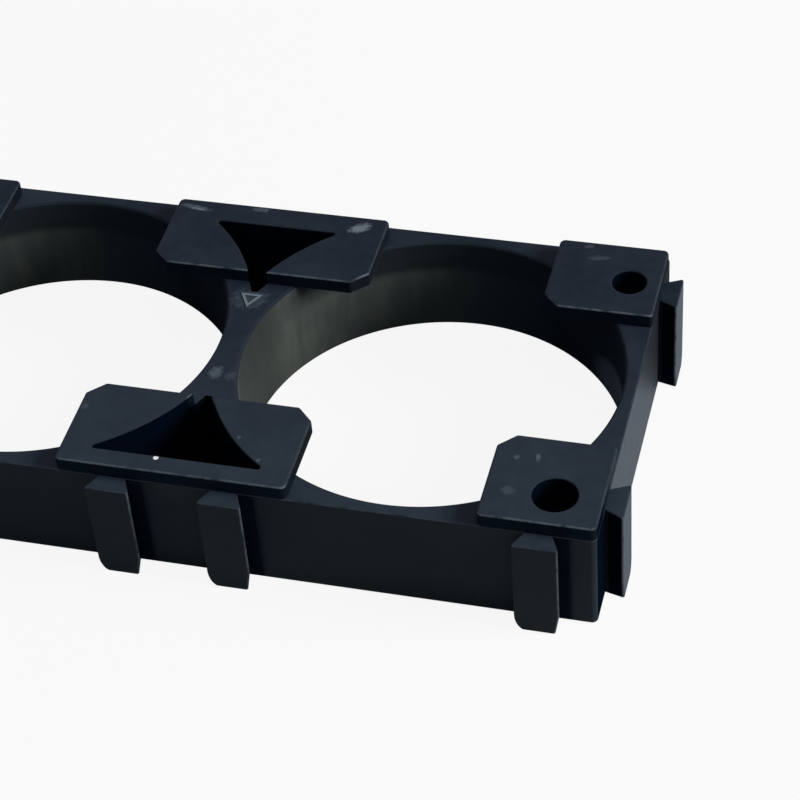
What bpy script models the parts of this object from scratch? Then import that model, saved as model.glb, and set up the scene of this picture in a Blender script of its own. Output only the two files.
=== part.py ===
"""Bracket that holds round battery cells side by side, moulded in one piece.

The cells stand in the bores and stop against the tabs. X runs along the row of cells, Y across
it, Z up. The origin is under the neck between the two cells, on the plane the frame stands on.
The near side (-Y) and the right end (+X) carry dovetail ribs, and the far side (+Y) and the
left end (-X) have the slots for a neighbour's ribs.
"""

from math import acos, asin, cos, pi, radians, sin, tan

import bmesh
import bpy
from mathutils import Vector

# Cells and frame, in metres
CELL_COUNT = 2
BORE_DIAMETER = 0.0326
NECK_WIDTH = 0.0024
OUTER_WALL = 0.00112
FRAME_HEIGHT = 0.0097
FOOT_EDGE_RADIUS = 0.0004
BORE_LEAD_IN = 0.00035
CORNER_RADIUS = 0.0005

# Tabs over the corners and over the necks
TAB_THICKNESS = 0.0013
TAB_DEPTH = 0.0094
TAB_SETBACK = 0.00057
MIDDLE_TAB_WIDTH = 0.0196
CORNER_TAB_WIDTH = 0.0096
TAB_CHAMFER = 0.0014
TAB_EDGE_RADIUS = 0.0002

# Dovetail ribs, and the slots that take a neighbour's
RIB_ROOT_WIDTH = 0.00235
RIB_OUTER_WIDTH = 0.0039
RIB_DEPTH = 0.0016
RIB_TOP_STEP = 0.00005
RIB_LEAD_IN_HEIGHT = 0.0020
RIB_LEAD_IN = 0.0004
RIB_LEFT_OF_NECK = 0.0050
RIB_RIGHT_OF_NECK = 0.0045
SIDE_RIB_FROM_END = 0.00465
END_RIB_FROM_NEAR = 0.0048
END_RIB_FROM_FAR = 0.0045
SLOT_CLEARANCE = 0.0002

# Curved triangular pockets through the middle tabs
POCKET_WEB = 0.0022
POCKET_NEAR_STRIP = 0.00175
POCKET_SLOT_WALL = 0.0013
POCKET_TIP_WIDTH = 0.00056
POCKET_CORNER_RADIUS = 0.00022

# Screw holes through the corners: diameter, distance from the end and from the side
WIDE_HOLE_DIAMETER = 0.0037
WIDE_HOLE_FROM_END = 0.0039
WIDE_HOLE_FROM_SIDE = 0.0032
SMALL_HOLE_DIAMETER = 0.0030
SMALL_HOLE_FROM_RIBBED = 0.0027
SMALL_HOLE_FROM_SLOTTED = 0.00535
SMALL_HOLE_FROM_BOTH_SLOTTED = 0.0042

# Facets
BORE_FACETS = 128
HOLE_FACETS = 32
POCKET_STEPS = 14
CORNER_STEPS = 4
EDGE_STEPS = 2

# Worked out from the sizes above
BORE_RADIUS = BORE_DIAMETER / 2
CELL_PITCH = BORE_DIAMETER + NECK_WIDTH
TOP = FRAME_HEIGHT + TAB_THICKNESS
SIDE_Y = BORE_RADIUS + OUTER_WALL
END_X = (CELL_COUNT - 1) * CELL_PITCH / 2 + SIDE_Y
CELL_CENTRES = [(i - (CELL_COUNT - 1) / 2) * CELL_PITCH for i in range(CELL_COUNT)]
NECKS = [x + CELL_PITCH / 2 for x in CELL_CENTRES[:-1]]
RIB_TOP = FRAME_HEIGHT - RIB_TOP_STEP
SLOT_DEPTH = RIB_DEPTH + SLOT_CLEARANCE

# How far a cutter or a rib's root runs past the face it starts from
PAST = 0.001
# Points this close in height lie in one plane
SAME_HEIGHT = 1e-7


def clear_scene():
    for item in list(bpy.data.objects):
        bpy.data.objects.remove(item, do_unlink=True)


def black_plastic():
    material = bpy.data.materials.new("black_plastic")
    material.use_nodes = True
    shader = material.node_tree.nodes["Principled BSDF"]
    shader.inputs["Base Color"].default_value = (0.016, 0.019, 0.022, 1)
    shader.inputs["Roughness"].default_value = 0.5
    shader.inputs["Metallic"].default_value = 0.0
    material.diffuse_color = (0.03, 0.034, 0.038, 1)
    return material


def rounded(corners):
    """An outline of (x, y, radius) corners, with an arc at each corner whose radius isn't 0."""
    outline = []
    for i, (x, y, radius) in enumerate(corners):
        here = Vector((x, y))
        if radius <= 0:
            outline.append(here)
            continue
        before = (Vector(corners[i - 1][:2]) - here).normalized()
        after = (Vector(corners[(i + 1) % len(corners)][:2]) - here).normalized()
        half_angle = before.angle(after) / 2
        middle = here + (before + after).normalized() * (radius / sin(half_angle))
        start = here + before * (radius * cos(half_angle) / sin(half_angle)) - middle
        end = here + after * (radius * cos(half_angle) / sin(half_angle)) - middle
        for step in range(CORNER_STEPS + 1):
            share = step / CORNER_STEPS
            outline.append(middle + start.lerp(end, share).normalized() * radius)
    return outline


def object_from(mesh_data, name):
    mesh = bpy.data.meshes.new(name)
    bmesh.ops.recalc_face_normals(mesh_data, faces=mesh_data.faces)
    mesh_data.to_mesh(mesh)
    mesh_data.free()
    item = bpy.data.objects.new(name, mesh)
    bpy.context.scene.collection.objects.link(item)
    return item


def stacked(name, layers):
    """A closed solid skinned over outlines of equal length: layers are (outline, z) pairs."""
    mesh_data = bmesh.new()
    rings = [[mesh_data.verts.new((p[0], p[1], z)) for p in outline] for outline, z in layers]
    count = len(rings[0])
    mesh_data.faces.new(rings[0])
    mesh_data.faces.new(rings[-1])
    for lower, upper in zip(rings, rings[1:]):
        for i in range(count):
            j = (i + 1) % count
            mesh_data.faces.new((lower[i], lower[j], upper[j], upper[i]))
    return object_from(mesh_data, name)


def round_edges(item, radius, z):
    """Rounds the edges of a prism that lie in the plane at height z."""
    mesh_data = bmesh.new()
    mesh_data.from_mesh(item.data)
    rim = [e for e in mesh_data.edges if all(abs(v.co.z - z) < SAME_HEIGHT for v in e.verts)]
    bmesh.ops.bevel(mesh_data, geom=rim, offset=radius, segments=EDGE_STEPS, profile=0.5,
                    affect="EDGES", clamp_overlap=True)
    mesh_data.to_mesh(item.data)
    mesh_data.free()


def circle(x, y, radius, facets):
    turn = 2 * pi / facets
    return [(x + radius * cos(i * turn), y + radius * sin(i * turn)) for i in range(facets)]


def frame_block():
    """The solid block that the bores are cut from, rounded along its foot."""
    outline = rounded([(-END_X, -SIDE_Y, CORNER_RADIUS), (END_X, -SIDE_Y, CORNER_RADIUS),
                       (END_X, SIDE_Y, CORNER_RADIUS), (-END_X, SIDE_Y, CORNER_RADIUS)])
    block = stacked("cell_bracket", [(outline, 0), (outline, FRAME_HEIGHT)])
    round_edges(block, FOOT_EDGE_RADIUS, 0)
    return block


def bore_cutter(x):
    """A bore that opens a little at the foot, where the cell goes in."""
    wide = circle(x, 0, BORE_RADIUS + BORE_LEAD_IN, BORE_FACETS)
    bore = circle(x, 0, BORE_RADIUS, BORE_FACETS)
    layers = [(wide, -PAST), (wide, 0), (bore, BORE_LEAD_IN), (bore, FRAME_HEIGHT + PAST)]
    return stacked("bore_cutter", layers)


def dovetail(root_width, outer_width, depth, place, turned):
    """A dovetail outline that stands out of the near side at x = place, its root in the wall.

    A turned one stands out of the right end instead, at y = place.
    """
    outer = outer_width / 2
    back = root_width / 2 - (outer_width - root_width) / 2 * PAST / depth
    points = [(-back, PAST), (-outer, -depth), (outer, -depth), (back, PAST)]
    if turned:
        return [(END_X - y, place + x) for x, y in points]
    return [(place + x, -SIDE_Y + y) for x, y in points]


def rib(place, turned):
    """A dovetail rib with a narrower lead-in at its foot."""
    foot_width = RIB_OUTER_WIDTH - 2 * RIB_LEAD_IN
    full = dovetail(RIB_ROOT_WIDTH, RIB_OUTER_WIDTH, RIB_DEPTH, place, turned)
    foot = dovetail(RIB_ROOT_WIDTH, foot_width, RIB_DEPTH, place, turned)
    return stacked("rib", [(foot, 0), (full, RIB_LEAD_IN_HEIGHT), (full, RIB_TOP)])


def slot_cutter(place, turned):
    """Room for a neighbour's rib: it comes in over the face opposite the ribs."""
    outline = dovetail(RIB_ROOT_WIDTH + 2 * SLOT_CLEARANCE, RIB_OUTER_WIDTH + 2 * SLOT_CLEARANCE,
                       SLOT_DEPTH, place, turned)
    if turned:
        outline = [(x - 2 * END_X, y) for x, y in outline]
    else:
        outline = [(x, y + 2 * SIDE_Y) for x, y in outline]
    return stacked("slot_cutter", [(outline, -PAST), (outline, FRAME_HEIGHT + PAST)])


def tab(name, corners):
    """A flat tab on the frame's top, with a fine radius round its upper edge."""
    outline = rounded(corners)
    plate = stacked(name, [(outline, FRAME_HEIGHT), (outline, TOP)])
    round_edges(plate, TAB_EDGE_RADIUS, TOP)
    return plate


def side_of(direction):
    """Where a tab starts at a side, and how far in it ends: the slotted side is set back."""
    outer = SIDE_Y if direction < 0 else SIDE_Y - TAB_SETBACK
    return direction * outer, direction * (SIDE_Y - TAB_DEPTH)


def middle_tab(neck, direction):
    outer, inner = side_of(direction)
    half = MIDDLE_TAB_WIDTH / 2
    shoulder = inner + direction * TAB_CHAMFER
    return tab("middle_tab", [
        (neck - half, outer, CORNER_RADIUS), (neck - half, shoulder, 0),
        (neck - half + TAB_CHAMFER, inner, 0), (neck + half - TAB_CHAMFER, inner, 0),
        (neck + half, shoulder, 0), (neck + half, outer, CORNER_RADIUS)])


def corner_tab(end, direction):
    outer, inner = side_of(direction)
    edge = END_X if end > 0 else TAB_SETBACK - END_X
    free = end * (END_X - CORNER_TAB_WIDTH)
    return tab("corner_tab", [
        (edge, outer, CORNER_RADIUS), (edge, inner, 0),
        (free + end * TAB_CHAMFER, inner, 0), (free, inner + direction * TAB_CHAMFER, 0),
        (free, outer, CORNER_RADIUS)])


def pocket_cutter(neck, direction):
    """A triangle with hollow sides: each side runs round a neighbouring bore, one web from it."""
    reach = BORE_RADIUS + POCKET_WEB
    half_pitch = CELL_PITCH / 2
    strip = POCKET_NEAR_STRIP if direction < 0 else SLOT_DEPTH + POCKET_SLOT_WALL
    base = SIDE_Y - strip
    first = acos((half_pitch - POCKET_TIP_WIDTH / 2) / reach)
    last = asin(base / reach)
    fillet_run = POCKET_CORNER_RADIUS / tan((pi / 2 - last) / 2)
    stop = last - 1.5 * fillet_run / reach
    right = []
    for step in range(POCKET_STEPS + 1):
        turn = first + (stop - first) * step / POCKET_STEPS
        right.append((half_pitch - reach * cos(turn), reach * sin(turn), 0))
    right.append((half_pitch - reach * cos(last), base, POCKET_CORNER_RADIUS))
    left = [(-x, y, radius) for x, y, radius in reversed(right)]
    outline = rounded([(neck + x, direction * y, radius) for x, y, radius in right + left])
    return stacked("pocket_cutter", [(outline, -PAST), (outline, TOP + PAST)])


def screw_hole_cutter(end, direction):
    """The hole moves in from a slotted face, and stays clear of the bore."""
    slotted_faces = (end < 0) + (direction > 0)
    radius = (SMALL_HOLE_DIAMETER if slotted_faces else WIDE_HOLE_DIAMETER) / 2
    if slotted_faces == 2:
        from_end = from_side = SMALL_HOLE_FROM_BOTH_SLOTTED
    elif slotted_faces == 0:
        from_end, from_side = WIDE_HOLE_FROM_END, WIDE_HOLE_FROM_SIDE
    elif end < 0:
        from_end, from_side = SMALL_HOLE_FROM_SLOTTED, SMALL_HOLE_FROM_RIBBED
    else:
        from_end, from_side = SMALL_HOLE_FROM_RIBBED, SMALL_HOLE_FROM_SLOTTED
    outline = circle(end * (END_X - from_end), direction * (SIDE_Y - from_side),
                     radius, HOLE_FACETS)
    return stacked("screw_hole_cutter", [(outline, -PAST), (outline, TOP + PAST)])


def rib_places():
    """X of each rib on the near side, and Y of each rib on the right end."""
    along = [SIDE_RIB_FROM_END - END_X, END_X - SIDE_RIB_FROM_END]
    for neck in NECKS:
        along += [neck - RIB_LEFT_OF_NECK, neck + RIB_RIGHT_OF_NECK]
    across = [END_RIB_FROM_NEAR - SIDE_Y, SIDE_Y - END_RIB_FROM_FAR]
    return along, across


def group(name, items):
    """A collection of helper solids, shown as wire and left out of a render."""
    collection = bpy.data.collections.new(name)
    bpy.context.scene.collection.children.link(collection)
    for item in items:
        for holder in list(item.users_collection):
            holder.objects.unlink(item)
        collection.objects.link(item)
        item.hide_render = True
        item.display_type = "WIRE"
    return collection


def combine(body, operation, helpers):
    modifier = body.modifiers.new(helpers.name, "BOOLEAN")
    modifier.operation = operation
    modifier.operand_type = "COLLECTION"
    modifier.collection = helpers
    modifier.solver = "EXACT"


def cell_bracket():
    along, across = rib_places()
    corners = [(end, direction) for end in (-1, 1) for direction in (-1, 1)]
    neck_ends = [(neck, direction) for neck in NECKS for direction in (-1, 1)]

    bores = [bore_cutter(x) for x in CELL_CENTRES]
    slots = [slot_cutter(x, False) for x in along] + [slot_cutter(y, True) for y in across]
    ribs = [rib(x, False) for x in along] + [rib(y, True) for y in across]
    tabs = [corner_tab(*corner) for corner in corners]
    tabs += [middle_tab(*neck_end) for neck_end in neck_ends]
    holes = [screw_hole_cutter(*corner) for corner in corners]
    pockets = [pocket_cutter(*neck_end) for neck_end in neck_ends]

    body = frame_block()
    combine(body, "DIFFERENCE", group("bores_and_slots", bores + slots))
    combine(body, "UNION", group("tabs_and_ribs", tabs + ribs))
    combine(body, "DIFFERENCE", group("holes_and_pockets", holes + pockets))
    body.data.materials.append(black_plastic())
    body.data.shade_smooth()
    body.data.set_sharp_from_angle(angle=radians(30))
    return body


clear_scene()
cell_bracket()
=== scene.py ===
"""Looks of the cell bracket: one moulding in satin black plastic, on a pale studio floor.

The moulding is made again over its solid with every rim eased, as it leaves the mould. Lengths
are in metres. X runs from one cell to the other, Y across, and Z up from the plane the frame
stands on.
"""

from math import acos, asin, cos, pi, radians, sin, sqrt, tan
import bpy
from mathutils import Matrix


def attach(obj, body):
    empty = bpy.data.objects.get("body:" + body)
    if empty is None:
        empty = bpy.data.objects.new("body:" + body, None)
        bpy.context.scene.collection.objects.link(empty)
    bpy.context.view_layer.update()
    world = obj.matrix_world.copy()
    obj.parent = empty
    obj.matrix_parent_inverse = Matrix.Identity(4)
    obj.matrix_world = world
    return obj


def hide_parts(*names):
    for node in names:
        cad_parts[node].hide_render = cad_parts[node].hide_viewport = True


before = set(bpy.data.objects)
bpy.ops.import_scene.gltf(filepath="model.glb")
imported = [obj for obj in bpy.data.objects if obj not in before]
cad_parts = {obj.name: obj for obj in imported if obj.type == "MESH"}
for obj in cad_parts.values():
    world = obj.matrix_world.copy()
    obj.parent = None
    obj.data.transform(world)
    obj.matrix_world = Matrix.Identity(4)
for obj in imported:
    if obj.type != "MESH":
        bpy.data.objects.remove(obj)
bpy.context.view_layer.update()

from types import SimpleNamespace

import bmesh
import bpy
from mathutils import Euler, Vector

# The moulding's own sizes, as in its solid
CELL_CENTRES = (-0.0175, 0.0175)
BORE_RADIUS = 0.0163
OUTER_WALL = 0.00112
FRAME_HEIGHT = 0.0097
BORE_LEAD_IN = 0.00035
CORNER_RADIUS = 0.0005

TAB_THICKNESS = 0.0013
TAB_DEPTH = 0.0094
TAB_SETBACK = 0.00057
MIDDLE_TAB_WIDTH = 0.0196
CORNER_TAB_WIDTH = 0.0096
TAB_CHAMFER = 0.0014

RIB_ROOT_WIDTH = 0.00235
RIB_OUTER_WIDTH = 0.0039
RIB_DEPTH = 0.0016
RIB_TOP_STEP = 0.00005
RIB_LEAD_IN_HEIGHT = 0.0020
RIB_LEAD_IN = 0.0004
RIB_ROUND_RUN = 0.0010
RIB_ROUND_HEIGHT = 0.0016
RIBS_BESIDE_NECK = (-0.0050, 0.0045)
SIDE_RIB_FROM_END = 0.00465
END_RIB_FROM_NEAR = 0.0048
END_RIB_FROM_FAR = 0.0045
SLOT_CLEARANCE = 0.0002

POCKET_WEB = 0.0022
POCKET_NEAR_STRIP = 0.00175
POCKET_SLOT_WALL = 0.0013
POCKET_TIP_WIDTH = 0.00056
POCKET_CORNER_RADIUS = 0.00022
# How far before its corner a hollow side stops, in runs of the corner's arc
POCKET_CORNER_ROOM = 1.5

WIDE_HOLE_DIAMETER = 0.0037
WIDE_HOLE_FROM_END = 0.0039
WIDE_HOLE_FROM_SIDE = 0.0032
SMALL_HOLE_DIAMETER = 0.0030
SMALL_HOLE_FROM_RIBBED = 0.0027
SMALL_HOLE_FROM_SLOTTED = 0.00535
SMALL_HOLE_FROM_BOTH_SLOTTED = 0.0042

# How far each kind of edge is eased
FOOT_EASE = 0.0004
FRAME_RIM_EASE = 0.00016
BORE_LIP_EASE = 0.00028
TAB_RIM_EASE = 0.0002
TAB_CORNER_EASE = 0.0003
RIB_RIM_EASE = 0.00012
RIB_EDGE_EASE = 0.00016
LIP_EASE = 0.00012
SLOT_MOUTH_EASE = 0.0002

# The small raised triangle moulded on the neck, and which way it points, in degrees from +X.
# Its bar's profile gives each corner's inset in widths of the moulded line, and whether the
# corner is under or over the frame's top
MARK_CENTRE = (-0.0001, 0.00582)
MARK_RADIUS = 0.0012
MARK_LINE = 0.00026
MARK_HEIGHT = 0.00007
MARK_PROFILE = ((0.0, -1), (0.25, 1), (2.0, 1), (2.3, -1))
MARK_SIDES = 3
MARK_POINTS_TO = 270

# Facets
BORE_FACETS = 256
HOLE_FACETS = 64
POCKET_STEPS = 24
CORNER_STEPS = 6
EASE_STEPS = 4
LEAD_STEPS = 10
SMOOTH_ANGLE = radians(32)

# How far cutters run past a face, and the gap that keeps two flat faces apart
PAST = 0.001
CLEAR = 0.00002

# Worked out from the sizes above
TOP = FRAME_HEIGHT + TAB_THICKNESS
SIDE_Y = BORE_RADIUS + OUTER_WALL
END_X = CELL_CENTRES[-1] + SIDE_Y
CELL_PITCH = CELL_CENTRES[1] - CELL_CENTRES[0]
NECK_X = (CELL_CENTRES[0] + CELL_CENTRES[1]) / 2
RIB_TOP = FRAME_HEIGHT - RIB_TOP_STEP
SLOT_DEPTH = RIB_DEPTH + SLOT_CLEARANCE
RIB_PLACES_NEAR = [SIDE_RIB_FROM_END - END_X, NECK_X + RIBS_BESIDE_NECK[0],
                   NECK_X + RIBS_BESIDE_NECK[1], END_X - SIDE_RIB_FROM_END]
RIB_PLACES_END = [END_RIB_FROM_NEAR - SIDE_Y, SIDE_Y - END_RIB_FROM_FAR]

# Some of them again in mm, in which the material measures
MM = 1000.0
CELL_MM = MM * CELL_CENTRES[1]
BORE_MM = MM * BORE_RADIUS
SIDE_MM = MM * SIDE_Y
END_MM = MM * END_X
FRAME_MM = MM * FRAME_HEIGHT
RIB_MM = MM * RIB_DEPTH

# Shades of the plastic, as linear colours: upper faces, outer walls, bores, and rims painted
# darker as painted shade
TOP_DARK = (0.0030, 0.0065, 0.0140, 1.0)
TOP_PALE = (0.0195, 0.0275, 0.0410, 1.0)
WALL_DARK = (0.0008, 0.0045, 0.0098, 1.0)
WALL_PALE = (0.0070, 0.0120, 0.0165, 1.0)
# Painted light: the right end, paler where the light falls on it
END_PAINTED_LIGHT = (0.0130, 0.0195, 0.0330, 1.0)
# Bore walls, with painted light and shade: dark, pale, streaked, at the neck, and in the upper
# band
BORE_DARK = (0.0120, 0.0200, 0.0280, 1.0)
BORE_PALE = (0.0280, 0.0330, 0.0330, 1.0)
BORE_STREAK = (0.0430, 0.0500, 0.0430, 1.0)
BORE_NECK = (0.0110, 0.0135, 0.0135, 1.0)
BORE_UPPER = (0.0045, 0.0080, 0.0110, 1.0)
RIM_PAINTED_SHADE = (0.0080, 0.0125, 0.0190, 1.0)

# Painted shade in recesses: on walls that face left, on walls that face right, and in the deepest
RECESS_LEFT = (0.0002, 0.0060, 0.0160, 1.0)
RECESS_RIGHT = (0.0002, 0.0010, 0.0030, 1.0)
DEEP_SHADE = (0.0003, 0.0017, 0.0052, 1.0)

# Shades of what lies on the plastic, and of painted highlights: the bore's glint, and rim wear
# that is partly painted highlight
BORE_GLINT = (0.0420, 0.0640, 0.0900, 1.0)
WEAR_AND_HIGHLIGHT = (0.1100, 0.1300, 0.1550, 1.0)
SCUFF = (0.1500, 0.1800, 0.2200, 1.0)
MARK_PALE = (0.1250, 0.1500, 0.1750, 1.0)
CRUMB_WHITE = (0.8000, 0.8000, 0.8000, 1.0)
WHITE = (1.0, 1.0, 1.0, 1.0)

# Noises, as scale, detail and roughness. Streaks are drawn out in height
CLOUD = (0.16, 4.0, 0.5)
MOTTLE = (0.9, 3.0, 0.5)
GRAIN = (7.0, 3.0, 0.6)
STREAK = (0.55, 4.0, 0.6)
RAGGED = (2.2, 3.0, 0.6)
STREAK_STRETCH = (1.0, 1.0, 0.35)
RAGGED_REACH = 3.0
NOISE_MIDDLE = 0.5

# The pairs below are where a smooth step starts and ends. Facings are parts of 1: right, back
# and up are positive. Distances are in mm.
FACES_UP = (0.80, 0.98)
STANDS_UPRIGHT = (0.35, 0.10)
FACES_NEAR = (0.0, -0.4)
FACES_END = (0.90, 0.98)
FROM_BORE_WALL = (0.12, 0.04)
FROM_BORE_LIP = (0.40, 0.20)
AT_OUTER_WALL = (-0.25, -0.10)
PAST_OUTER_WALL = (0.1, 0.3)
FROM_RIB_FRONT = (-0.24, -0.16)
OVER_FRAME = (0.0, 0.05)

# Pockets and screw holes lie between these, from the neck and from the middle line
POCKET_ENDS = (8.5, 8.0)
HOLE_STARTS = (26.5, 27.0)
HOLE_ENDS = (34.2, 33.9)
CUT_STARTS = (8.4, 8.8)
CUT_ENDS = (16.6, 16.2)

# How much of its painted shade each recess takes, and from where it also loses its gloss
CUT_DEPTH = 0.92
TAB_SIDE_DEPTH = 0.76
BESIDE_RIB_DEPTH = 0.80
END_DEPTH = 0.67
CORNER_DEPTH = 0.94
TURNED_AWAY_DEPTH = 0.70
DEEP = (0.55, 1.0)

# The painted shade beside a near rib starts and fades out at these distances right of its middle
RIB_SHADE_STARTS = (0.9, 1.1)
RIB_SHADE_ENDS = (3.0, 2.35)
NEAR_WALL = (0.3, 0.1)
# Painted shade on the right end grows with y and height together, and again towards the near
# corner
END_SHADE = (9.0, 15.5)
END_CORNER_SHADE = (-13.2, -14.6)
# The part of the right end painted paler as painted light: under this sum of y and height, past
# this y
END_LIT_UNDER = (13.0, 8.5)
END_LIT_FROM = (-13.5, -11.5)
# Bore walls that face left are turned away from the light, and get painted shade
TURNED_AWAY = (0.15, -0.55)
# From the one recess shade to the other, as walls turn to the right
RECESS_TURN = (0.0, 0.5)

# Wear and painted highlights: where each kind of edge starts and ends, and how much it gets
RIM_STARTS = (0.2, 0.45)
RIM_ENDS = (0.97, 0.85)
RIM_WEAR_AND_HIGHLIGHT_ELSEWHERE = 0.15
FRAME_RIM_WEAR_AND_HIGHLIGHT = 0.35
RIB_CORNER = (0.15, 0.40)
RIB_WEAR_AND_HIGHLIGHT = 0.45
FACES_DOWN = (-0.15, -0.40)
FOOT_WEAR_AND_HIGHLIGHT = 0.8
WEAR_AND_HIGHLIGHT_PATCHES = (0.26, 0.56)
WEAR_AND_HIGHLIGHT_COVER = 0.6
# Rims that face right are rougher, and painted darker as painted shade that takes off their
# highlight
DULL_SHADED_RIM_STARTS = (0.1, 0.3)
DULL_SHADED_RIM_TURN = (0.1, 0.5)
RIM_PAINTED_SHADE_COVER = 0.9

# Bore walls, painted with light and shade: the side the light reaches, the neck's own wall, and
# the band along the top
LIT_SIDE = (-0.15, 0.25)
BY_NECK = (0.90, 0.995)
BY_NECK_COVER = 0.8
STREAKS = (0.40, 0.65)
STREAK_COVER = 0.6
UPPER_BAND = (6.0, 7.2)
UPPER_BAND_TURN = (0.88, 0.60)
UPPER_COVER = 0.95
LIP_TURN = (0.05, 0.30)

# Outer walls are painted paler to the right and towards the foot, as painted light, and vary in
# clouds. The shares are those of the run to the right, of the clouds, and of the rise towards the
# foot
WALL_RUN = (-36.0, 36.0)
WALL_RISE = (6.0, 1.0)
CLOUDS = (0.3, 0.7)
WALL_SHARES = (0.5, 0.3, 0.7)

# Upper faces grow paler towards the near side, and over the frame's left end. The shares are
# those of the run to the near side, of the clouds, of the mottle, and of the left end
TOP_RUN = (20.0, -20.0)
MOTTLES = (0.35, 0.65)
LEFT_END = (-14.0, -28.0)
TOP_SHARES = (0.6, 0.25, 0.15, 0.5)

# Scuffs on the upper faces, in mm: x, y, half length, half width, turn, strength
SCUFFS = (
    (7.4, 15.3, 1.05, 0.60, 35, 0.78),
    (-8.0, 15.75, 1.6, 0.3, -8, 0.35),
    (-7.8, 15.55, 0.7, 0.2, -8, 0.40),
    (-2.0, 16.3, 0.8, 0.3, 0, 0.30),
    (29.2, 14.8, 1.0, 0.35, 10, 0.15),
    (28.0, 16.2, 0.5, 0.25, 0, 0.17),
    (27.2, -10.6, 0.25, 0.3, 0, 0.25),
    (28.9, -10.4, 0.2, 0.45, 10, 0.38),
    (27.3, -14.4, 0.6, 0.5, 0, 0.14),
    (-0.3, -3.9, 0.6, 0.8, 0, 0.35),
    (1.1, -4.1, 0.5, 0.6, 0, 0.16),
    (-0.1, 5.8, 1.8, 1.3, 0, 0.16),
    (-9.3, -11.1, 0.3, 0.4, 0, 0.16),
    (4.5, -12.4, 0.2, 0.2, 0, 0.25),
    (6.8, -14.7, 0.2, 0.2, 0, 0.25),
)
SCUFF_EDGE = (1.4, 0.0)
SCUFF_FACING = (0.5, 0.9)
# A painted highlight low on the right bore's wall, as an oval over y and height that leans over
BORE_GLINT_OVAL = (9.2, 2.4, 3.2, 2.4, 0)
BORE_GLINT_LEAN = 0.4
BORE_GLINT_EDGE = (1.2, 0.3)
BORE_GLINT_FROM = (20.0, 24.0)
# A crumb of dust on the near middle tab, as an oval like a scuff
CRUMB = (-1.5, -15.9, 0.23, 0.24, 0)
CRUMB_EDGE = (1.3, 0.5)
# The raised triangle's top, over the frame's top and under the tabs' own
MARK_TOP = (0.2, 0.1)
MARK_FACING = (0.1, 0.4)

# Gloss. Roughness starts from the first number. The others are what mottle, grain, wear with its
# painted highlights, and upper faces add to it
ROUGHNESS = (0.44, 0.12, 0.08, -0.10, 0.1)
GLOSS_LEVEL = 0.14
END_SHEEN = 0.30
END_SHEEN_ROUGHNESS = 0.45
GRAIN_RELIEF = 0.35
GRAIN_HEIGHT = 0.00002

# Where the colours of a Mix node stand among its inputs and outputs
MIX_GROUND, MIX_COVER, MIX_RESULT = 6, 7, 2

# Light: name, azimuth from +X, elevation, distance, size, level of white facing it, tint
SOFTBOXES = (
    ("right", 1, 24, 1.0, 0.40, 1.8, (1.0, 1.0, 0.97)),
    ("overhead", -60, 70, 1.0, 0.40, 0.15, (0.86, 0.94, 1.0)),
)
WORLD_COLOUR = (0.75, 0.88, 1.0, 1.0)
WORLD_LEVEL = 0.16
WORLD_SHOWS_WHITE = 1.0
WORLD_GLOSS_WHITE = 0.5
FLOOR_HALF_WIDTH = 3.0
FLOOR_COLOUR = (0.50, 0.50, 0.50, 1.0)
FLOOR_SHOWS_WHITE = 0.9
FLOOR_GLOSS_WHITE = 0.0

# Camera: its lens in mm, its place, and its turns about X, Y and Z in degrees
CAMERA_LENS = 111.54
CAMERA_SENSOR = 36.0
CAMERA_CLIP = 0.01
CAMERA_PLACE = (0.06088, -0.14804, 0.14968)
CAMERA_TURNS = (46.959, 3.625, 13.996)


def rounded(corners):
    """An outline of (x, y, radius) corners, with an arc at each corner whose radius isn't 0."""
    outline = []
    for i, (x, y, radius) in enumerate(corners):
        here = Vector((x, y))
        if radius <= 0:
            outline.append(here)
            continue
        before = (Vector(corners[i - 1][:2]) - here).normalized()
        after = (Vector(corners[(i + 1) % len(corners)][:2]) - here).normalized()
        half_angle = before.angle(after) / 2
        middle = here + (before + after).normalized() * (radius / sin(half_angle))
        run = radius / tan(half_angle)
        start = here + before * run - middle
        end = here + after * run - middle
        for step in range(CORNER_STEPS + 1):
            ray = start.lerp(end, step / CORNER_STEPS).normalized()
            outline.append(middle + ray * radius)
    return anticlockwise(outline)


def circle(x, y, radius, facets):
    turn = 2 * pi / facets
    return [Vector((x + radius * cos(i * turn), y + radius * sin(i * turn)))
            for i in range(facets)]


def anticlockwise(outline):
    area = sum(a.x * b.y - b.x * a.y for a, b in zip(outline, outline[1:] + outline[:1]))
    return outline if area > 0 else outline[::-1]


def drawn_in(outline, distance):
    """The outline moved inwards all round, or outwards where the distance is negative."""
    moved = []
    for i, here in enumerate(outline):
        along = (here - outline[i - 1]).normalized()
        onward = (outline[(i + 1) % len(outline)] - here).normalized()
        inwards = Vector((-along.y - onward.y, along.x + onward.x))
        moved.append(here + inwards * (distance / (1 + along.dot(onward))))
    return moved


def eased(radius, height, up):
    """(run, height) pairs from a wall, round its edge, to the face it meets at that height."""
    pairs = []
    for step in range(EASE_STEPS + 1):
        turn = pi / 2 * step / EASE_STEPS
        pairs.append((radius * (1 - cos(turn)), height - up * radius * (1 - sin(turn))))
    return pairs


def put_in_scene(name, mesh_data):
    """Makes an object of the built faces."""
    mesh = bpy.data.meshes.new(name)
    mesh_data.to_mesh(mesh)
    mesh_data.free()
    item = bpy.data.objects.new(name, mesh)
    bpy.context.scene.collection.objects.link(item)
    return item


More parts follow.
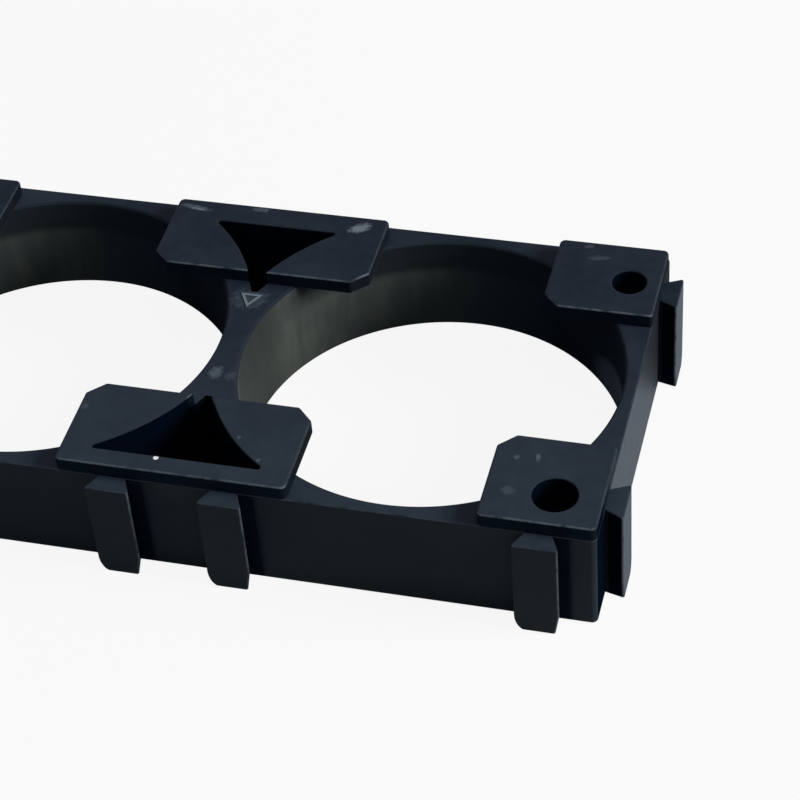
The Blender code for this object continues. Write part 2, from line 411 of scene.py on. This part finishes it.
def skinned(name, layers):
    """A closed solid over outlines of equal length: layers are (outline, height) pairs."""
    mesh_data = bmesh.new()
    rings = [[mesh_data.verts.new((p.x, p.y, z)) for p in outline] for outline, z in layers]
    mesh_data.faces.new(rings[0][::-1])
    mesh_data.faces.new(rings[-1])
    for lower, upper in zip(rings, rings[1:]):
        for i, corner in enumerate(lower):
            j = (i + 1) % len(lower)
            mesh_data.faces.new((corner, lower[j], upper[j], upper[i]))
    return put_in_scene(name, mesh_data)


def plate(name, outline, foot, top, rim_ease, foot_ease=0.0):
    """A prism whose rims are eased inwards."""
    profile = [(0.0, foot)]
    if foot_ease:
        profile = eased(foot_ease, foot, -1)[::-1]
    profile += eased(rim_ease, top, 1)
    return skinned(name, [(drawn_in(outline, run), z) for run, z in profile])


def through_cutter(name, outline, top, ease):
    """Cuts from under the foot to past the top, and eases the lip at both ends."""
    profile = eased(ease, 0.0, -1)[::-1] + eased(ease, top, 1)
    profile = [(ease, -PAST)] + profile + [(ease, TOP + PAST)]
    return skinned(name, [(drawn_in(outline, -run), z) for run, z in profile])


def frame_block():
    outline = rounded([(-END_X, -SIDE_Y, CORNER_RADIUS), (END_X, -SIDE_Y, CORNER_RADIUS),
                       (END_X, SIDE_Y, CORNER_RADIUS), (-END_X, SIDE_Y, CORNER_RADIUS)])
    return plate("bracket", outline, 0.0, FRAME_HEIGHT, FRAME_RIM_EASE, FOOT_EASE)


def bore_cutter(x):
    """A bore with a chamfered lead-in at the foot and an eased lip at the top."""
    bore = circle(x, 0.0, BORE_RADIUS, BORE_FACETS)
    profile = [(BORE_LEAD_IN, -PAST), (BORE_LEAD_IN, 0.0), (0.0, BORE_LEAD_IN)]
    profile += eased(BORE_LIP_EASE, FRAME_HEIGHT, 1)
    profile += [(BORE_LIP_EASE, FRAME_HEIGHT + PAST)]
    return skinned("bore_cutter", [(drawn_in(bore, -run), z) for run, z in profile])


def dovetail(place, turned, left, right):
    """A dovetail out of the near side at x = place, or of the right end at y = place.

    Its outer corners stand left and right of its middle, or far and near on the right end.
    """
    left_root, right_root = (min(RIB_ROOT_WIDTH / 2, outer) for outer in (left, right))
    left_back = left_root - (left - left_root) * PAST / RIB_DEPTH
    right_back = right_root - (right - right_root) * PAST / RIB_DEPTH
    corners = [(-left_back, PAST, 0.0), (-left, -RIB_DEPTH, RIB_EDGE_EASE),
               (right, -RIB_DEPTH, RIB_EDGE_EASE), (right_back, PAST, 0.0)]
    if turned:
        return rounded([(END_X - y, place - x, ease) for x, y, ease in corners])
    return rounded([(place + x, -SIDE_Y + y, ease) for x, y, ease in corners])


def rib(place, turned):
    """A rib whose foot is rounded on one flank and slants on the other, with eased rims."""
    profile = []
    for step in range(LEAD_STEPS + 1):
        turn = pi / 2 * step / LEAD_STEPS
        z = RIB_ROUND_HEIGHT * (1 - cos(turn))
        rim = max(0.0, RIB_RIM_EASE - z)
        rim_run = RIB_RIM_EASE - sqrt(RIB_RIM_EASE ** 2 - rim ** 2)
        profile.append((rim_run, RIB_ROUND_RUN * (1 - sin(turn)), z))
    profile.append((0.0, 0.0, RIB_LEAD_IN_HEIGHT))
    profile += [(run, 0.0, z) for run, z in eased(RIB_RIM_EASE, RIB_TOP, 1)]
    layers = []
    for rim_run, rounded_run, z in profile:
        slanted_run = RIB_LEAD_IN * max(0.0, 1 - z / RIB_LEAD_IN_HEIGHT)
        outline = dovetail(place, turned, RIB_OUTER_WIDTH / 2 - rounded_run,
                           RIB_OUTER_WIDTH / 2 - slanted_run)
        layers.append((drawn_in(outline, rim_run), z))
    return skinned("rib", layers)


def slot_cutter(place, turned):
    """Room for a neighbour's rib, in the face opposite the ribs, with an eased mouth."""
    root = RIB_ROOT_WIDTH / 2 + SLOT_CLEARANCE
    outer = RIB_OUTER_WIDTH / 2 + SLOT_CLEARANCE
    wide = outer + PAST
    corners = [(-wide, PAST, 0.0), (-wide, CLEAR, 0.0), (-root, CLEAR, SLOT_MOUTH_EASE),
               (-outer, -SLOT_DEPTH, 0.0), (outer, -SLOT_DEPTH, 0.0),
               (root, CLEAR, SLOT_MOUTH_EASE), (wide, CLEAR, 0.0), (wide, PAST, 0.0)]
    if turned:
        outline = [(-END_X - y, place + x, ease) for x, y, ease in corners]
    else:
        outline = [(place + x, SIDE_Y + y, ease) for x, y, ease in corners]
    return skinned("slot_cutter", [(rounded(outline), -PAST),
                                   (rounded(outline), FRAME_HEIGHT + PAST)])


def side_of(direction):
    """Where a tab starts at a side, and how far in it ends: the slotted side is set back."""
    outer = SIDE_Y if direction < 0 else SIDE_Y - TAB_SETBACK
    return direction * outer, direction * (SIDE_Y - TAB_DEPTH)


def middle_tab(direction):
    outer, inner = side_of(direction)
    half = MIDDLE_TAB_WIDTH / 2
    shoulder = inner + direction * TAB_CHAMFER
    outline = rounded([
        (NECK_X - half, outer, CORNER_RADIUS), (NECK_X - half, shoulder, TAB_CORNER_EASE),
        (NECK_X - half + TAB_CHAMFER, inner, TAB_CORNER_EASE),
        (NECK_X + half - TAB_CHAMFER, inner, TAB_CORNER_EASE),
        (NECK_X + half, shoulder, TAB_CORNER_EASE), (NECK_X + half, outer, CORNER_RADIUS)])
    return plate("middle_tab", outline, FRAME_HEIGHT, TOP, TAB_RIM_EASE)


def corner_tab(end, direction):
    outer, inner = side_of(direction)
    edge = END_X if end > 0 else TAB_SETBACK - END_X
    free = end * (END_X - CORNER_TAB_WIDTH)
    outline = rounded([
        (edge, outer, CORNER_RADIUS), (edge, inner, TAB_CORNER_EASE),
        (free + end * TAB_CHAMFER, inner, TAB_CORNER_EASE),
        (free, inner + direction * TAB_CHAMFER, TAB_CORNER_EASE),
        (free, outer, CORNER_RADIUS)])
    return plate("corner_tab", outline, FRAME_HEIGHT, TOP, TAB_RIM_EASE)


def pocket_cutter(direction):
    """A triangle with hollow sides: each side runs round a neighbouring bore, one web from it."""
    reach = BORE_RADIUS + POCKET_WEB
    half_pitch = CELL_PITCH / 2
    strip = POCKET_NEAR_STRIP if direction < 0 else SLOT_DEPTH + POCKET_SLOT_WALL
    base = SIDE_Y - strip
    first = acos((half_pitch - POCKET_TIP_WIDTH / 2) / reach)
    last = asin(base / reach)
    arc_run = POCKET_CORNER_RADIUS / tan((pi / 2 - last) / 2)
    stop = last - POCKET_CORNER_ROOM * arc_run / reach
    right = []
    for step in range(POCKET_STEPS + 1):
        turn = first + (stop - first) * step / POCKET_STEPS
        right.append((half_pitch - reach * cos(turn), reach * sin(turn), 0.0))
    right.append((half_pitch - reach * cos(last), base, POCKET_CORNER_RADIUS))
    left = [(-x, y, radius) for x, y, radius in reversed(right)]
    outline = rounded([(NECK_X + x, direction * y, radius) for x, y, radius in right + left])
    return through_cutter("pocket_cutter", outline, TOP, LIP_EASE)


def screw_hole_cutter(end, direction):
    """The hole moves in from a slotted face, and stays clear of the bore."""
    slotted_faces = (end < 0) + (direction > 0)
    radius = (SMALL_HOLE_DIAMETER if slotted_faces else WIDE_HOLE_DIAMETER) / 2
    if slotted_faces == 2:
        from_end = from_side = SMALL_HOLE_FROM_BOTH_SLOTTED
    elif slotted_faces == 0:
        from_end, from_side = WIDE_HOLE_FROM_END, WIDE_HOLE_FROM_SIDE
    elif end < 0:
        from_end, from_side = SMALL_HOLE_FROM_SLOTTED, SMALL_HOLE_FROM_RIBBED
    else:
        from_end, from_side = SMALL_HOLE_FROM_RIBBED, SMALL_HOLE_FROM_SLOTTED
    outline = circle(end * (END_X - from_end), direction * (SIDE_Y - from_side),
                     radius, HOLE_FACETS)
    return through_cutter("screw_hole_cutter", outline, TOP, LIP_EASE)


def raised_mark():
    """A small hollow triangle that points at the near side, as a ring of three bars."""
    x, y = MARK_CENTRE
    turns = [radians(MARK_POINTS_TO + 360 / MARK_SIDES * i) for i in range(MARK_SIDES)]
    mesh_data = bmesh.new()
    rings = []
    for inset, over in MARK_PROFILE:
        radius = MARK_RADIUS - inset * MARK_LINE
        z = FRAME_HEIGHT + over * MARK_HEIGHT
        rings.append([mesh_data.verts.new((x + radius * cos(t), y + radius * sin(t), z))
                      for t in turns])
    for outer, inner in zip(rings, rings[1:] + rings[:1]):
        for i in range(MARK_SIDES):
            j = (i + 1) % MARK_SIDES
            mesh_data.faces.new((outer[i], outer[j], inner[j], inner[i]))
    bmesh.ops.recalc_face_normals(mesh_data, faces=mesh_data.faces)
    return put_in_scene("raised_mark", mesh_data)


def combine(body, operation, name, helpers):
    """Applies one exact Boolean with all the helpers, then removes them."""
    collection = bpy.data.collections.new(name)
    bpy.context.scene.collection.children.link(collection)
    for item in helpers:
        bpy.context.scene.collection.objects.unlink(item)
        collection.objects.link(item)
    modifier = body.modifiers.new(name, "BOOLEAN")
    modifier.operation = operation
    modifier.operand_type = "COLLECTION"
    modifier.collection = collection
    modifier.solver = "EXACT"
    settle(body)
    for item in helpers:
        bpy.data.objects.remove(item, do_unlink=True)
    bpy.data.collections.remove(collection)


def settle(item):
    """Replaces the mesh with what its modifiers make of it."""
    bpy.context.view_layer.update()
    made = item.evaluated_get(bpy.context.evaluated_depsgraph_get())
    mesh = bpy.data.meshes.new_from_object(made)
    item.modifiers.clear()
    item.data = mesh


def moulding():
    sides = (-1, 1)
    corners = [(end, direction) for end in sides for direction in sides]
    joining = [(x, False) for x in RIB_PLACES_NEAR] + [(y, True) for y in RIB_PLACES_END]
    bores = [bore_cutter(x) for x in CELL_CENTRES]
    slots = [slot_cutter(*place) for place in joining]
    ribs = [rib(*place) for place in joining]
    tabs = [corner_tab(*corner) for corner in corners]
    tabs += [middle_tab(direction) for direction in sides]
    holes = [screw_hole_cutter(*corner) for corner in corners]
    pockets = [pocket_cutter(direction) for direction in sides]

    body = frame_block()
    combine(body, "DIFFERENCE", "bores_and_slots", bores + slots)
    combine(body, "UNION", "tabs_and_ribs", tabs + ribs + [raised_mark()])
    combine(body, "DIFFERENCE", "holes_and_pockets", holes + pockets)
    body.data.shade_smooth()
    body.data.set_sharp_from_angle(angle=SMOOTH_ANGLE)
    flatten = body.modifiers.new("even_faces", "WEIGHTED_NORMAL")
    flatten.keep_sharp = True
    settle(body)
    body.data.name = "bracket"
    return body


class Signal:
    """A shader socket. Arithmetic on it adds Math nodes, and add() makes any other node."""

    def __init__(self, tree, socket=None):
        self.tree = tree
        self.socket = socket

    def add(self, kind, settings=None, sockets=None, output=0):
        """Makes a node: its settings go first, then the values or links of its sockets."""
        node = self.tree.nodes.new(kind)
        for name, value in (settings or {}).items():
            setattr(node, name, value)
        for name, value in (sockets or {}).items():
            if isinstance(value, Signal):
                self.tree.links.new(value.socket, node.inputs[name])
            else:
                node.inputs[name].default_value = value
        return Signal(self.tree, node.outputs[output] if node.outputs else None)

    def math(self, operation, first, second):
        return self.add("ShaderNodeMath", {"operation": operation}, {0: first, 1: second})

    def __add__(self, other):
        return self.math("ADD", self, other)

    __radd__ = __add__

    def __mul__(self, other):
        return self.math("MULTIPLY", self, other)

    __rmul__ = __mul__

    def __sub__(self, other):
        return self.math("SUBTRACT", self, other)

    def __rsub__(self, other):
        return self.math("SUBTRACT", other, self)

    def __abs__(self):
        return self.math("ABSOLUTE", self, 0.0)

    def rise(self, start, end):
        """0 before start, 1 past end, and a smooth step between; start may be the larger."""
        sockets = {"Value": self, "From Min": start, "From Max": end}
        return self.add("ShaderNodeMapRange", {"interpolation_type": "SMOOTHSTEP"}, sockets)

    def past(self, base, edge):
        """A smooth step like rise(), with its edge counted from a base."""
        return self.rise(base + edge[0], base + edge[1])

    def over(self, ground, cover):
        """Mixes two colours, with self as the cover's share."""
        sockets = {0: self, MIX_GROUND: ground, MIX_COVER: cover}
        return self.add("ShaderNodeMix", {"data_type": "RGBA"}, sockets, MIX_RESULT)

    def split(self):
        """The X, Y and Z of a vector, as three signals."""
        first = self.add("ShaderNodeSeparateXYZ", {}, {0: self})
        return [Signal(self.tree, output) for output in first.socket.node.outputs]

    def noise(self, scale, detail, roughness):
        """A noise over the places that self gives."""
        sockets = {"Vector": self, "Scale": scale, "Detail": detail, "Roughness": roughness}
        return self.add("ShaderNodeTexNoise", {}, sockets, "Fac")


def emptied(node_tree):
    """Clears a node tree and gives the signal that its nodes start from."""
    node_tree.nodes.clear()
    return Signal(node_tree)


def most(first, *others):
    """The largest of several signals."""
    for other in others:
        first = first.math("MAXIMUM", first, other)
    return first


def from_oval(across, along, x, y, half_length, half_width, turn):
    """How far a point is from an oval's middle, squared: 1 on the oval's own line."""
    right, ahead = across - x, along - y
    turn_cos, turn_sin = cos(radians(turn)), sin(radians(turn))
    down_length = (right * turn_cos + ahead * turn_sin) * (1 / half_length)
    down_width = (ahead * turn_cos - right * turn_sin) * (1 / half_width)
    return down_length * down_length + down_width * down_width


def places(start):
    """Where on the moulding a point is and which way it faces, as signals by name."""
    at = SimpleNamespace()
    position = start.add("ShaderNodeTexCoord", output="Object")
    at.in_mm = start.add("ShaderNodeVectorMath", {"operation": "SCALE"},
                         {0: position, "Scale": MM})
    at.across, at.along, at.height = at.in_mm.split()
    facing = start.add("ShaderNodeTexCoord", output="Normal")
    at.rightward, at.backward, at.upward = facing.split()
    at.cloud, at.mottle, at.grain = (at.in_mm.noise(*kind) for kind in (CLOUD, MOTTLE, GRAIN))

    at.top = at.upward.rise(*FACES_UP)
    at.upright = abs(at.upward).rise(*STANDS_UPRIGHT)
    off_neck, off_middle = abs(at.across), abs(at.along)
    off_cell = off_neck - CELL_MM
    reach = off_cell * off_cell + at.along * at.along
    at.in_bore = reach.rise(*((BORE_MM + gap) ** 2 for gap in FROM_BORE_WALL))
    at.by_lip = reach.rise(*((BORE_MM + gap) ** 2 for gap in FROM_BORE_LIP))
    past_side, past_end = off_middle - SIDE_MM, off_neck - END_MM
    at.outside = most(past_side.rise(*AT_OUTER_WALL), past_end.rise(*AT_OUTER_WALL))
    at.on_rib = most(past_side.rise(*PAST_OUTER_WALL), past_end.rise(*PAST_OUTER_WALL))
    at.rib_front = most(past_side, past_end).past(RIB_MM, FROM_RIB_FRONT)
    at.over_frame = at.height.past(FRAME_MM, OVER_FRAME)
    by_hole = off_neck.rise(*HOLE_STARTS) * off_neck.rise(*HOLE_ENDS)
    in_row = off_middle.rise(*CUT_STARTS) * off_middle.rise(*CUT_ENDS)
    at.in_cut = most(off_neck.rise(*POCKET_ENDS), by_hole) * in_row
    at.slant = at.along + at.height
    at.to_end = at.rightward.rise(*FACES_END) * at.outside
    return at


def painted_shade(at, bore_glint):
    """Painted shade: pockets, holes, tab sides, rib flanks and corners, and bore walls turned
    from the light.
    """
    tab_side = at.over_frame * (1 - at.in_cut)
    within = 1 - most(at.in_bore, at.outside)
    recess = most(within * (CUT_DEPTH - (CUT_DEPTH - TAB_SIDE_DEPTH) * tab_side),
                  at.over_frame * TAB_SIDE_DEPTH, at.on_rib * (1 - at.rib_front) * CUT_DEPTH)
    # Painted shade beside the near ribs
    beside = 0.0
    for x in RIB_PLACES_NEAR:
        gap = at.across - MM * x
        beside = gap.rise(*RIB_SHADE_STARTS) * gap.rise(*RIB_SHADE_ENDS) + beside
    beside = beside * at.along.past(-SIDE_MM, NEAR_WALL) * BESIDE_RIB_DEPTH
    # Painted shade on the right end, and towards its near corner
    on_end = most(at.slant.rise(*END_SHADE) * END_DEPTH,
                  at.along.rise(*END_CORNER_SHADE) * CORNER_DEPTH)
    on_end = on_end * at.to_end * (1 - at.on_rib)
    # Painted shade on bore walls turned away from the light
    turned_away = at.in_bore * at.rightward.rise(*TURNED_AWAY) * (1 - bore_glint) * TURNED_AWAY_DEPTH
    return most(recess, beside * (1 - at.on_rib), on_end, turned_away) * at.upright


def wear_and_highlights(at):
    """Wear and painted highlights: most on rims that face the near side, less on other rims, the
    foot and the ribs' edges.
    """
    rim = at.upward.rise(*RIM_STARTS) * at.upward.rise(*RIM_ENDS)
    rim = rim * (1 - at.by_lip * (1 - at.over_frame)) * (1 - at.in_cut)
    rim = rim * (RIM_WEAR_AND_HIGHLIGHT_ELSEWHERE + (1 - RIM_WEAR_AND_HIGHLIGHT_ELSEWHERE) * at.backward.rise(*FACES_NEAR))
    rim = rim * (FRAME_RIM_WEAR_AND_HIGHLIGHT + (1 - FRAME_RIM_WEAR_AND_HIGHLIGHT) * at.over_frame)
    rib_edge = (at.rightward * at.backward * -1.0).rise(*RIB_CORNER) * at.rib_front
    foot_edge = at.upward.rise(*FACES_DOWN) * at.outside
    edges = most(rim, rib_edge * RIB_WEAR_AND_HIGHLIGHT, foot_edge * FOOT_WEAR_AND_HIGHLIGHT)
    return edges * at.mottle.rise(*WEAR_AND_HIGHLIGHT_PATCHES)


def bore_wall(at, bore_glint):
    """Painted light and shade: paler where it faces right, except at the neck, and darker in a
    band along the top and at the lip.
    """
    lit_side = at.rightward.rise(*LIT_SIDE)
    stretched = at.in_mm.add("ShaderNodeMapping", {},
                             {"Vector": at.in_mm, "Scale": STREAK_STRETCH})
    streaks = stretched.noise(*STREAK).rise(*STREAKS) * STREAK_COVER * lit_side
    upper = at.height.rise(*UPPER_BAND) * at.rightward.rise(*UPPER_BAND_TURN)
    shade = lit_side.over(BORE_DARK, BORE_PALE)
    shade = streaks.over(shade, BORE_STREAK)
    shade = (at.rightward.rise(*BY_NECK) * BY_NECK_COVER).over(shade, BORE_NECK)
    shade = (upper * UPPER_COVER).over(shade, BORE_UPPER)
    shade = at.upward.rise(*LIP_TURN).over(shade, RIM_PAINTED_SHADE)
    # The painted highlight low on the right bore's wall
    return bore_glint.over(shade, BORE_GLINT)


def outer_wall(at, painted_lit_end):
    """Painted light: paler to the right and towards the foot, and palest where the right end is
    painted paler.
    """
    to_right = at.across.rise(*WALL_RUN)
    by_place, by_cloud, by_foot = WALL_SHARES
    paler = to_right * by_place + at.cloud.rise(*CLOUDS) * by_cloud
    paler = paler + to_right * at.height.rise(*WALL_RISE) * by_foot
    return painted_lit_end.over(paler.over(WALL_DARK, WALL_PALE), END_PAINTED_LIGHT)


def upper_face(at):
    """Paler towards the near side, in soft clouds."""
    by_place, by_cloud, by_mottle, by_end = TOP_SHARES
    paler = at.along.rise(*TOP_RUN) * by_place + at.cloud.rise(*CLOUDS) * by_cloud
    paler = paler + at.mottle.rise(*MOTTLES) * by_mottle
    paler = paler + at.across.rise(*LEFT_END) * (1 - at.over_frame) * by_end
    return paler.over(TOP_DARK, TOP_PALE)


def scuffs(at):
    ragged = (at.in_mm.noise(*RAGGED) - NOISE_MIDDLE) * RAGGED_REACH
    scuffed = 0.0
    for *oval, strength in SCUFFS:
        distance = from_oval(at.across, at.along, *oval)
        scuffed = (distance + ragged).rise(*SCUFF_EDGE) * strength + scuffed
    return scuffed * at.upward.rise(*SCUFF_FACING)


def black_plastic():
    """Satin black: greyer on top, painted near black in recesses, rims worn and painted as
    highlights, scuffs and specks.
    """
    material = bpy.data.materials.new("black_plastic")
    material.use_nodes = True
    start = emptied(material.node_tree)
    at = places(start)

    # A painted highlight low on the right bore's wall
    bore_glint = from_oval(at.along + at.height * BORE_GLINT_LEAN, at.height, *BORE_GLINT_OVAL)
    bore_glint = bore_glint.rise(*BORE_GLINT_EDGE) * at.across.rise(*BORE_GLINT_FROM)
    # Rim wear, partly painted highlights along the edges
    worn_and_highlit = wear_and_highlights(at)
    painted_dark = painted_shade(at, bore_glint) * (1 - worn_and_highlit)
    # The right end painted paler as painted light; its coat sheen goes there too
    painted_lit_end = at.to_end * most(at.on_rib,
                                  at.slant.rise(*END_LIT_UNDER) * at.along.rise(*END_LIT_FROM))
    # Rims that face right: rougher, and painted darker as painted shade
    dull_shaded_rim = at.upward.rise(*DULL_SHADED_RIM_STARTS) * at.upward.rise(*RIM_ENDS)
    dull_shaded_rim = dull_shaded_rim * at.rightward.rise(*DULL_SHADED_RIM_TURN)
    on_mark = at.over_frame * at.height.past(FRAME_MM, MARK_TOP) * at.upward.rise(*MARK_FACING)
    crumb = from_oval(at.across, at.along, *CRUMB).rise(*CRUMB_EDGE) * at.top

    shade = at.in_bore.over(outer_wall(at, painted_lit_end), bore_wall(at, bore_glint))
    shade = at.top.over(shade, upper_face(at))
    shade = (dull_shaded_rim * RIM_PAINTED_SHADE_COVER).over(shade, RIM_PAINTED_SHADE)
    shade = (worn_and_highlit * WEAR_AND_HIGHLIGHT_COVER).over(shade, WEAR_AND_HIGHLIGHT)
    shade = scuffs(at).over(shade, SCUFF)
    # Painted shade in recesses, darker on walls that face the light
    in_recess = at.rightward.rise(*RECESS_TURN).over(RECESS_LEFT, RECESS_RIGHT)
    shade = painted_dark.over(shade, in_recess)
    shade = on_mark.over(shade, MARK_PALE)
    shade = crumb.over(shade, CRUMB_WHITE)

    plain, by_mottle, by_grain, by_wear_and_highlight, by_top = ROUGHNESS
    rough = plain + by_mottle * at.mottle + by_grain * at.grain + by_wear_and_highlight * worn_and_highlit + by_top * at.top
    rough = rough + most(painted_dark, dull_shaded_rim) * (1 - rough)
    relief = start.add("ShaderNodeBump", {}, {"Strength": GRAIN_RELIEF, "Distance": GRAIN_HEIGHT,
                                              "Height": at.grain})
    satin = start.add("ShaderNodeBsdfPrincipled", {}, {
        "Base Color": shade, "Roughness": rough, "Specular IOR Level": GLOSS_LEVEL,
        "Coat Weight": painted_lit_end * END_SHEEN, "Coat Roughness": END_SHEEN_ROUGHNESS,
        "Normal": relief})
    # The deepest recesses are painted near black as painted shade, and have no gloss
    matt = start.add("ShaderNodeBsdfDiffuse", {}, {"Color": DEEP_SHADE})
    mixed = start.add("ShaderNodeMixShader", {}, {0: painted_dark.rise(*DEEP), 1: satin, 2: matt})
    start.add("ShaderNodeOutputMaterial", {}, {"Surface": mixed})
    return material


def picture_share(start, straight, gloss):
    """How white the ground shows: to the eye and through glass, in a gloss, and 0 for light."""
    eye, glass, glossy = (start.add("ShaderNodeLightPath", output=ray) for ray in
                          ("Is Camera Ray", "Is Transmission Ray", "Is Glossy Ray"))
    return straight * most(eye, glass) + gloss * glossy


def pale_floor():
    material = bpy.data.materials.new("pale_floor")
    material.use_nodes = True
    start = emptied(material.node_tree)
    matt = start.add("ShaderNodeBsdfDiffuse", {}, {"Color": FLOOR_COLOUR})
    white = start.add("ShaderNodeEmission", {}, {"Color": WHITE, "Strength": 1.0})
    share = picture_share(start, FLOOR_SHOWS_WHITE, FLOOR_GLOSS_WHITE)
    mixed = start.add("ShaderNodeMixShader", {}, {0: share, 1: matt, 2: white})
    start.add("ShaderNodeOutputMaterial", {}, {"Surface": mixed})
    return material


def studio_floor():
    half = FLOOR_HALF_WIDTH
    mesh = bpy.data.meshes.new("floor")
    mesh.from_pydata([(-half, -half, 0), (half, -half, 0), (half, half, 0), (-half, half, 0)],
                     [], [(0, 1, 2, 3)])
    mesh.materials.append(pale_floor())
    floor = bpy.data.objects.new("floor", mesh)
    floor.location.z = -CLEAR
    bpy.context.scene.collection.objects.link(floor)


def softbox(name, azimuth, elevation, distance, size, white_level, tint):
    """A square lamp at an azimuth from +X; white_level is how bright it makes white facing it."""
    turn, rise = radians(azimuth), radians(elevation)
    place = Vector((cos(turn) * cos(rise), sin(turn) * cos(rise), sin(rise))) * distance
    lamp = bpy.data.lights.new(name, "AREA")
    lamp.shape = "SQUARE"
    lamp.size = size
    lamp.energy = white_level * pi * pi * distance * distance
    lamp.color = tint
    item = bpy.data.objects.new(name, lamp)
    item.location = place
    item.rotation_euler = (-place).to_track_quat("-Z", "Y").to_euler()
    bpy.context.scene.collection.objects.link(item)


def studio_light():
    for lamp in SOFTBOXES:
        softbox(*lamp)
    world = bpy.data.worlds.new("studio")
    world.use_nodes = True
    bpy.context.scene.world = world
    start = emptied(world.node_tree)
    ambient = start.add("ShaderNodeBackground", {},
                        {"Color": WORLD_COLOUR, "Strength": WORLD_LEVEL})
    white = start.add("ShaderNodeBackground", {}, {"Color": WHITE, "Strength": 1.0})
    share = picture_share(start, WORLD_SHOWS_WHITE, WORLD_GLOSS_WHITE)
    mixed = start.add("ShaderNodeMixShader", {}, {0: share, 1: ambient, 2: white})
    start.add("ShaderNodeOutputWorld", {}, {"Surface": mixed})


def camera():
    """Stands in front and to the right, 43 degrees above the floor, and rolls a little."""
    data = bpy.data.cameras.new("camera")
    data.lens = CAMERA_LENS
    data.sensor_width = CAMERA_SENSOR
    data.clip_start = CAMERA_CLIP
    item = bpy.data.objects.new("camera", data)
    item.location = CAMERA_PLACE
    item.rotation_euler = Euler([radians(angle) for angle in CAMERA_TURNS])
    bpy.context.scene.collection.objects.link(item)
    bpy.context.scene.camera = item


bpy.context.scene.view_settings.view_transform = "Standard"
camera()
studio_floor()
studio_light()

bracket = moulding()
bracket.data.materials.clear()
bracket.data.materials.append(black_plastic())
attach(bracket, "root")
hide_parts("cell_bracket")
